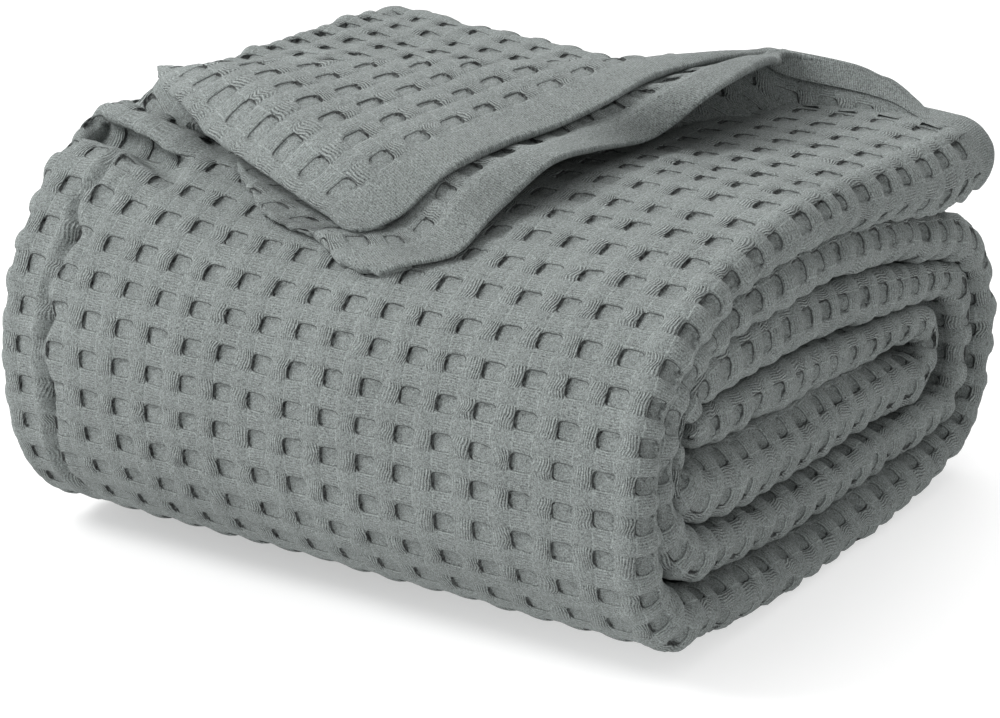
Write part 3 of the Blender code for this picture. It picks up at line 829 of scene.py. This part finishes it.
def strip_piece(name, row_from, row_to, u_from, u_to, lines_v, lines_u, share=1.0):
    """Part of the wound strip between two rows and two columns."""
    v_lines = cell_lines(row_from, row_to, lines_v)
    u_lines = cell_lines(u_from, u_to, lines_u)
    points = STRIP.at(v_lines, u_lines, share)
    u, v = np.meshgrid(u_lines, v_lines)
    past_nose = ramp(np.abs(u + COLUMN_ZERO), *NOSE_X)
    crumple = soft_noise(u / 0.9 + 0.3 * v, v / 0.75, 31.0) + 0.6 * soft_noise(u / 2.2, v / 0.45, 32.0)
    ribs = -np.cos(2.0 * math.pi * warped(u, v)[1]) * (1.0 + 0.35 * soft_noise(u / 1.3, v / 1.1, 33.0))
    swell = past_nose * (NOSE_CRUMPLE * crumple + NOSE_RIBS * ribs)
    points = points + normals_of(points) * swell[:, :, None]
    if share == 1.0 and row_to > 0.0:
        height, hang = shoulder_fold(u, v)
        backwards = unit(np.gradient(points, axis=0))
        points = points + normals_of(points) * height[:, :, None] - backwards * hang[:, :, None]
    hem = STRIP.hem_distance(v_lines, u_lines)
    relief = 1.0 + NOSE_RELIEF * past_nose
    obj = grid_piece(name, points, u, v, hem, relief, STRIP_WAVE * (1.0 + past_nose))
    return obj


# columns and rows where the pieces of the strip begin and end
RIGHT = STRIP_REACH - COLUMN_ZERO
LEFT = -STRIP_REACH - COLUMN_ZERO
FIRST = STRIP.first_row
BACK = -34.5  # the back goes on into the inner turns here
FOOT = -6.5  # the front meets the bottom here
END = STRIP.last_row
OPEN = END - 4.0  # the strip's end shows its inside from here
PLAIN = (LINES_PLAIN, LINES_PLAIN)
# name, first and last row, first and last column, grid lines along and across, share of thickness
STRIP_PIECES = (
    ("outer_turn_front_top", FOOT, END + DROOP_LENGTH, LEFT - 1.6, RIGHT + 1.6, LINES_SMOOTH, LINES_MAIN),
    ("outer_turn_bottom_back", BACK, FOOT, LEFT - 1.6, RIGHT + 1.6, *PLAIN),
    ("inner_turns_right", FIRST, BACK, RIGHT - 1.6, RIGHT + 2.2, LINES_MAIN, LINES_MAIN),
    ("inner_turns_left", FIRST, BACK, LEFT - 2.2, LEFT + 1.6, *PLAIN),
    ("plies_inside", OPEN, END + 0.8, LEFT - 3.0, RIGHT + 3.0, *PLAIN, INNER_PLIES[0]),
    ("plies_innermost", OPEN, END + 0.8, LEFT - 4.0, RIGHT + 4.0, *PLAIN, INNER_PLIES[1]),
)
pieces = [strip_piece(*row) for row in STRIP_PIECES]


# ---- the turned-back corner ----

def stack_top(x, y):
    """Height of the wound strip's top under a point."""
    outer = STRIP.line + STRIP.normal * STRIP.half[:, None]
    first = np.searchsorted(STRIP.arc, STRIP.end_arc - TOP_LENGTH)
    z = np.interp(y, outer[first:, 0], outer[first:, 1])
    return z + lift(x, y, z)


def quadratic(a, b, c, count):
    """Points along the arch from a through b to c, without its first one."""
    t = np.linspace(0.0, 1.0, count + 1)[1:, None]
    control = 2.0 * b - 0.5 * (a + c)
    return (1 - t) ** 2 * a + 2 * (1 - t) * t * control + t ** 2 * c


def smooth_rows(rows, between):
    """More rows between those of a table, on a smooth curve through them."""
    table = np.array(rows)
    padded = np.vstack([2 * table[0] - table[1], table, 2 * table[-1] - table[-2]])
    out = []
    for i in range(1, len(padded) - 2):
        a, b, c, d = padded[i - 1:i + 3]
        for t in np.arange(between) / between:
            out.append(0.5 * (2 * b + (c - a) * t + (2 * a - 5 * b + 4 * c - d) * t ** 2
                              + (3 * b - a - 3 * c + d) * t ** 3))
    out.append(table[-1])
    return np.array(out)


def flap_section(row, way):
    """A section of the corner from its foot over the ridge to the upper hem, and on to the lower."""
    ridge, nose, bow, swell = row[2:5], row[5], row[6], row[7]
    behind = np.array([-way[1], way[0], 0.0])
    foot = np.array([row[0], row[1], stack_top(row[0], row[1]) - FLAP_ROOT])
    turned = float(smooth_step(row[14] / TURNED))
    sinking = float(ramp(ridge[0], *WALL_SINK_X))
    ridge = ridge + (0.0, 0.0, WALL_RISE * (1.0 - turned) * (1.0 - sinking) - WALL_SINK * sinking)
    hem_share = WALL_HEM + (1.0 - WALL_HEM) * turned
    upper_hem = ridge + (row[8:11] - ridge) * hem_share
    lower_hem = ridge + (row[11:14] - ridge) * hem_share
    low = foot + NOSE_HANDLES[0] * nose * behind + (0.0, 0.0, FLAP_ROOT)
    high = ridge + NOSE_HANDLES[1] * nose * behind
    middle = 0.5 * (ridge + upper_hem) - bow * behind + (0.0, 0.0, swell)
    round_nose = bezier((foot, low, high, ridge), NOSE_STATIONS)
    section = np.vstack([foot, round_nose, quadratic(ridge, middle, upper_hem, PLY_STATIONS)])
    return section, quadratic(upper_hem, 0.5 * (upper_hem + lower_hem), lower_hem, TAIL_STATIONS)


def lower_ply(grid, tails, share, along):
    """The ply inside the upper one, which reaches further to its own hem."""
    turned = smooth_step(share / TURNED_LOWER)[:, None, None]
    forwards = np.stack([along[:, 1], -along[:, 0], np.zeros(len(along))], axis=1)[:, None]
    inward = -normals_of(grid) * turned + forwards * (1.0 - turned)
    gap = PLIES_APART * PLY * turned + WALL_PLIES * (1.0 - turned)
    fade = 1.0 - smooth_step(np.linspace(0.0, 1.0, tails.shape[1]) / TAIL_FADE)
    tails = tails + inward[:, -1:] * gap * (turned * fade[None, :, None] + 1.0 - turned)
    return np.concatenate([grid + inward * gap, tails], axis=1)


def flap_grid(upper):
    """Sections of one ply from its hem over the ridge to its foot, where the ridge is, and how far
    each is turned back: towards +X the corner isn't turned any more and stands up like a wall."""
    rows = smooth_rows(FLAP, FLAP_BETWEEN)
    along = unit(np.gradient(rows[:, 2:4], axis=0))
    sections, tails = zip(*(flap_section(row, way) for row, way in zip(rows, along)))
    grid = np.array(sections)
    if not upper:
        grid = lower_ply(grid, np.array(tails), rows[:, 14], along)
    grid = grid[:, ::-1]
    ridge_arc = np.array([arc_of(section)[-1 - NOSE_STATIONS] for section in grid])
    return grid, ridge_arc, smooth_step(rows[:, 14] / TURNED)


def left_edge(upper, v_lines):
    """The column of a ply's left fold in each row of its grid."""
    places = np.array(LEFT_EDGE_UPPER if upper else LEFT_EDGE_LOWER)
    edge = np.interp(v_lines, places[:, 0], places[:, 1])
    padded = np.pad(edge, EDGE_SMOOTHING // 2, mode="edge")
    kernel = np.ones(EDGE_SMOOTHING) / EDGE_SMOOTHING
    return -np.convolve(padded, kernel, mode="valid")[:, None]


def between(wanted, places, points):
    """Points at the wanted places along a line of points."""
    return np.stack([np.interp(wanted, places, points[:, k]) for k in range(3)], axis=-1)


def flap_piece(name, upper, length):
    """One ply of the turned-back corner: its hem is turned, its left edge is a fold."""
    grid, ridge_arc, turned = flap_grid(upper)
    along = arc_of(grid[:, 0])
    v_lines = cell_lines(0.0, length, LINES_FINE)
    u_lines = cell_lines(-EDGE_BEYOND, along[-1], LINES_FINE)
    u, v = np.meshgrid(u_lines, v_lines)
    even = np.array([between(v_lines, arc_of(section), section) for section in grid])

    # at its left fold the cloth goes round and back under the corner
    edge = left_edge(upper, v_lines)
    radius = 0.5 * (FOLD_THICK_UPPER if upper else FOLD_THICK_LOWER)
    over = np.maximum(edge - u, 0.0)
    angle = np.clip(over / radius, 0.0, math.pi)
    under = np.maximum(over - math.pi * radius, 0.0)
    flat_u = np.maximum(u, edge) + FOLD_RETURN * (1.0 - np.exp(-under / FOLD_RETURN))
    facing = normals_of(even.transpose(1, 0, 2))
    points = np.array([between(at, along, even[:, j]) for j, at in enumerate(flat_u)])
    normal = unit(np.array([between(at, along, facing[j]) for j, at in enumerate(flat_u)]))
    way = unit(even[0] - even[EDGE_SECTIONS])[:, None]
    reach = np.maximum(-flat_u, 0.0)
    points = points + reach[:, :, None] * way
    points[:, :, 2] -= EDGE_DROP * reach ** 1.5

    # before its ridge it lies on the strip, and it sags near the fold
    past = smooth_step((v - np.interp(u_lines, along, ridge_arc)) / RIDGE_WIDTH)
    plies = 2.0 if upper else 1.0
    near_fold = bump(np.maximum(u - edge, 0.0), 1.0, 0.0, NEAR_FOLD)
    rest = stack_top(points[:, :, 0], points[:, :, 1]) + FLAP_GAP + plies * PLY
    rest = rest + near_fold * np.maximum(2.0 * radius - PLY, 0.0)
    lying = (1.0 - past) * np.interp(u_lines, along, turned)
    inner = np.maximum(u, edge)
    if upper:
        sag = EDGE_SAG_UPPER * ramp(inner, *SAG_UPPER_U) * window(v, *SAG_WINDOW)
    else:
        sag = EDGE_SAG_LOWER * ramp(inner, *SAG_LOWER_U)
    points[:, :, 2] -= np.maximum(points[:, :, 2] - rest, 0.0) * sag
    points[:, :, 2] += np.maximum(rest - points[:, :, 2], 0.0) * lying
    points = points + way * (radius * np.sin(angle))[:, :, None]
    points = points - normal * (radius * (1.0 - np.cos(angle)))[:, :, None]

    # past the ridge the lower ply shows its back, where pockets stand out
    relief = np.ones_like(u) if upper else 1.0 - 2.0 * past
    band = HEM_WIDTH if upper else LOWER_BAND
    points, u, v, hem = with_turned_hem(points, u, v, band)
    relief = np.vstack([np.ones((len(points) - len(relief), relief.shape[1])), relief])
    hem = hem + HEM_WIDTH - band
    obj = grid_piece(name, points, 0.5 - u, v - band - FIRST_ROW, hem, relief, FLAP_WAVE)
    return obj


def with_turned_hem(points, u, v, band):
    """Rows before the hem that carry the cloth round its edge and under the band."""
    normal = normals_of(points)
    outward = unit(points[0] - points[2])
    radius = 0.5 * HEM_THICKNESS
    under = np.linspace(band - HEM_UNDER[0], HEM_UNDER[1], HEM_UNDER_ROWS)
    nearest = [int(np.argmin(np.abs(v[:, 0] - place))) for place in under]
    rows = [points[j] - normal[j] * 2.0 * radius for j in nearest]
    for angle in np.linspace(math.pi, 0.0, HEM_EDGE_ROWS)[:-1]:
        shift = outward * math.sin(angle) - normal[0] * (1.0 - math.cos(angle))
        rows.append(points[0] + shift * radius)
    places = np.concatenate([under, np.zeros(HEM_EDGE_ROWS - 1)])[:, None]
    points = np.concatenate([np.array(rows), points])
    hem = np.vstack([np.repeat(places, u.shape[1], axis=1), v])
    u = np.vstack([np.repeat(u[:1], len(rows), axis=0), u])
    v = np.vstack([-hem[:len(rows)], v])
    return points, u, v, hem


pieces.append(flap_piece("upper_flap", True, 13.0))
pieces.append(flap_piece("lower_flap", False, 15.0))
for piece in pieces:
    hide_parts("blanket")


# ---- camera, light and floor ----

LIGHT_TARGET = (0.0, 0.0, 0.08)
# name, place in metres, width in metres, power in watts
LIGHTS = (
    ("key", (-1.05, -0.85, 1.4), 0.8, 27.0),
    ("back", (-0.3, 1.4, 1.3), 0.9, 9.0),
)
WORLD_LEFT = 1.3  # strength of the soft light from the left and right
WORLD_RIGHT = 0.50
WORLD_SIDE = (0.7, -0.3)
FLOOR_HALF = 6.0  # metres
FLOOR_GREY = (0.5, 0.5, 0.5, 1.0)
WHITE = (1.0, 1.0, 1.0, 1.0)
FLOOR_ROUGHNESS = 0.9
FLOOR_PAINTED_GLOW = 0.44  # painted light: the floor glows though it is no lamp, evenly and more towards the right, where it lightens the blanket's shadow
FLOOR_PAINTED_GLOW_RIGHT = 0.62
FLOOR_PAINTED_GLOW_X = (-0.05, 0.25)
PHOTO_WIDTH = 1000  # pixels
FOCAL_LENGTH = 2510  # in the same pixels
SENSOR_WIDTH = 36.0  # millimetres
VIEW_WAY = (-0.5197, 0.7945, -0.314)
VIEW_PLACE = (24.527, -41.296, 18.560)  # in cells, from row 0 and column 0 of the weave


def soft_light(name, place, size, power):
    """A round area light that points at the blanket."""
    light = bpy.data.lights.new(name, "AREA")
    light.shape = "DISK"
    light.size = size
    light.energy = power
    obj = new_object(name, light)
    obj.location = place
    obj.rotation_euler = (Vector(LIGHT_TARGET) - Vector(place)).to_track_quat("-Z", "Y").to_euler()


def white_table():
    """The floor, with a painted glow of its own that is stronger towards the right, where it lightens the
    blanket's shadow.
    """
    mesh = bpy.data.meshes.new("floor")
    corners = [(x * FLOOR_HALF, y * FLOOR_HALF, 0.0) for x, y in ((-1, -1), (1, -1), (1, 1), (-1, 1))]
    mesh.from_pydata(corners, [], [(0, 1, 2, 3)])
    paint = bpy.data.materials.new("floor_paint")
    paint.use_nodes = True
    shader = paint.node_tree.nodes["Principled BSDF"]
    fill(shader, {"Base Color": FLOOR_GREY, "Roughness": FLOOR_ROUGHNESS, "Emission Color": WHITE})
    n = Nodes(paint.node_tree)
    x = n.split(n.coordinates()["Object"])[0]
    painted_glow = n.add(n.times(n.ramp(x, *FLOOR_PAINTED_GLOW_X), FLOOR_PAINTED_GLOW_RIGHT - FLOOR_PAINTED_GLOW), FLOOR_PAINTED_GLOW)
    paint.node_tree.links.new(painted_glow, shader.inputs["Emission Strength"])
    mesh.materials.append(paint)
    floor = new_object("floor", mesh)


def studio():
    """Soft white light from all round, stronger from the left."""
    world = bpy.data.worlds.new("studio")
    world.use_nodes = True
    n = Nodes(world.node_tree)
    side = n.ramp(n.split(n.coordinates()["Generated"])[0], *WORLD_SIDE)
    strength = n.add(n.times(side, WORLD_LEFT - WORLD_RIGHT), WORLD_RIGHT)
    background = world.node_tree.nodes["Background"]
    world.node_tree.links.new(strength, background.inputs["Strength"])
    fill(background, {"Color": WHITE})
    bpy.context.scene.world = world
    for light in LIGHTS:
        soft_light(*light)
    bpy.context.scene.view_settings.view_transform = "Standard"


def camera():
    """The camera, from the perspective of the counted waffle cells."""
    forward = Vector(VIEW_WAY).normalized()
    right = forward.cross(Vector((0, 0, 1))).normalized()
    upward = right.cross(forward)
    place = (Vector(VIEW_PLACE) + Vector((COLUMN_ZERO, *ROW_ZERO)) + Vector(SHIFT)) * CELL
    data = bpy.data.cameras.new("camera")
    data.sensor_width = SENSOR_WIDTH
    data.lens = FOCAL_LENGTH * SENSOR_WIDTH / PHOTO_WIDTH
    obj = new_object("camera", data)
    obj.matrix_world = Matrix((
        (right.x, upward.x, -forward.x, place.x),
        (right.y, upward.y, -forward.y, place.y),
        (right.z, upward.z, -forward.z, place.z),
        (0, 0, 0, 1)))
    bpy.context.scene.camera = obj


white_table()
studio()
camera()
